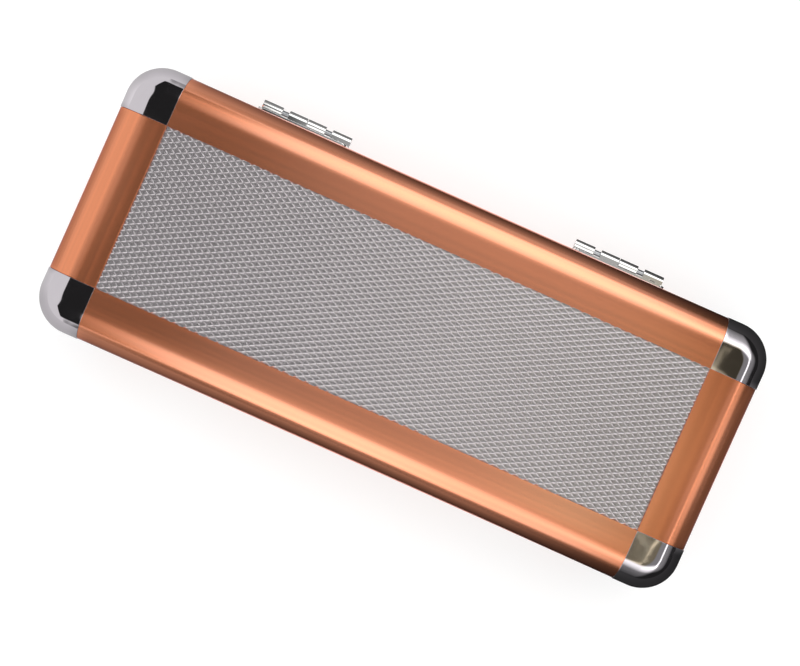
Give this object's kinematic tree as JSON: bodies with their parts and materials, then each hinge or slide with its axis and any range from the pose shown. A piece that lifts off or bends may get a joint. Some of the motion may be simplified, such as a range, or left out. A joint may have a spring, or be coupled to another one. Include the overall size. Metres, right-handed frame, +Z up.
{
  "type": "art supply box",
  "caption": "Slim hinged art supply box: copper anodised rails, bright corner caps, textured silver panels, lined inside, closed by two flush draw latches.",
  "frame": {"origin": "middle of the whole outline, hinges and latches included, on the plane that the base's corner caps stand on", "axes": "+X along the box, +Y towards the hinges, +Z up"},
  "size_m": [0.3106, 0.1351, 0.0706],
  "materials": {
    "anodised_rail": "copper anodised, satin, fine lengthwise drawing lines",
    "anodised_rivet": "copper anodised, satin",
    "textured_skin": "silver sheet embossed with small raised lozenges",
    "fibreboard": "hard fibreboard",
    "black_lining": "black short pile over moulded foam",
    "corner_chrome": "bright chrome plate, polished",
    "hinge_chrome": "bright nickel and chrome plate",
    "latch_chrome": "bright nickel and chrome plate",
    "zinc_steel": "zinc plated steel",
    "moulded_key": "black moulded plastic"
  },
  "bodies": {
    "base": {"base_front_rail": "anodised_rail", "base_back_rail": "anodised_rail", "base_left_rail": "anodised_rail", "base_right_rail": "anodised_rail", "base_skin": "textured_skin", "base_board": "fibreboard", "base_liner": "black_lining", "base_cap_front_left": "corner_chrome", "base_cap_front_right": "corner_chrome", "base_cap_back_left": "corner_chrome", "base_cap_back_right": "corner_chrome", "base_key_front_left": "moulded_key", "base_key_front_right": "moulded_key", "base_key_back_left": "moulded_key", "base_key_back_right": "moulded_key", "base_cap_screws": "zinc_steel", "base_hinge_leaf_left": "hinge_chrome", "base_hinge_leaf_right": "hinge_chrome", "base_hinge_rivets": "hinge_chrome", "hinge_pin_left": "zinc_steel", "hinge_pin_right": "zinc_steel", "latch_housing_left": "latch_chrome", "latch_housing_right": "latch_chrome", "latch_rivets": "latch_chrome", "latch_pivot_pins": "zinc_steel"},
    "lid": {"lid_front_rail": "anodised_rail", "lid_back_rail": "anodised_rail", "lid_left_rail": "anodised_rail", "lid_right_rail": "anodised_rail", "lid_skin": "textured_skin", "lid_board": "fibreboard", "lid_liner": "black_lining", "lid_cap_front_left": "corner_chrome", "lid_cap_front_right": "corner_chrome", "lid_cap_back_left": "corner_chrome", "lid_cap_back_right": "corner_chrome", "lid_key_front_left": "moulded_key", "lid_key_front_right": "moulded_key", "lid_key_back_left": "moulded_key", "lid_key_back_right": "moulded_key", "lid_cap_screws": "zinc_steel", "lid_hinge_leaf_left": "hinge_chrome", "lid_hinge_leaf_right": "hinge_chrome", "lid_hinge_rivets": "hinge_chrome", "strike_left": "zinc_steel", "strike_right": "zinc_steel", "strike_rivets": "anodised_rivet"},
    "lever_left": {"lever_left": "latch_chrome", "claw_pin_left": "zinc_steel"},
    "lever_right": {"lever_right": "latch_chrome", "claw_pin_right": "zinc_steel"},
    "claw_left": {"claw_left": "latch_chrome"},
    "claw_right": {"claw_right": "latch_chrome"}
  },
  "joints": [
    {"name": "lid_hinge", "type": "hinge", "parent": "base", "child": "lid", "pos_m": [0, 0.06515, 0.0423], "axis": [-1, 0, 0], "range_deg": [0, 105]},
    {"name": "lever_left_hinge", "type": "hinge", "parent": "base", "child": "lever_left", "pos_m": [-0.085, -0.06435, 0.0363], "axis": [-1, 0, 0], "range_deg": [0, 90]},
    {"name": "claw_left_hinge", "type": "hinge", "parent": "lever_left", "child": "claw_left", "pos_m": [-0.085, -0.06415, 0.0288], "axis": [-1, 0, 0], "range_deg": [-90, 0]},
    {"name": "lever_right_hinge", "type": "hinge", "parent": "base", "child": "lever_right", "pos_m": [0.085, -0.06435, 0.0363], "axis": [-1, 0, 0], "range_deg": [0, 90]},
    {"name": "claw_right_hinge", "type": "hinge", "parent": "lever_right", "child": "claw_right", "pos_m": [0.085, -0.06415, 0.0288], "axis": [-1, 0, 0], "range_deg": [-90, 0]}
  ],
  "couplings": [
    {"joint": "claw_left_hinge", "follows": "lever_left_hinge", "ratio": -1},
    {"joint": "claw_right_hinge", "follows": "lever_right_hinge", "ratio": -1}
  ]
}
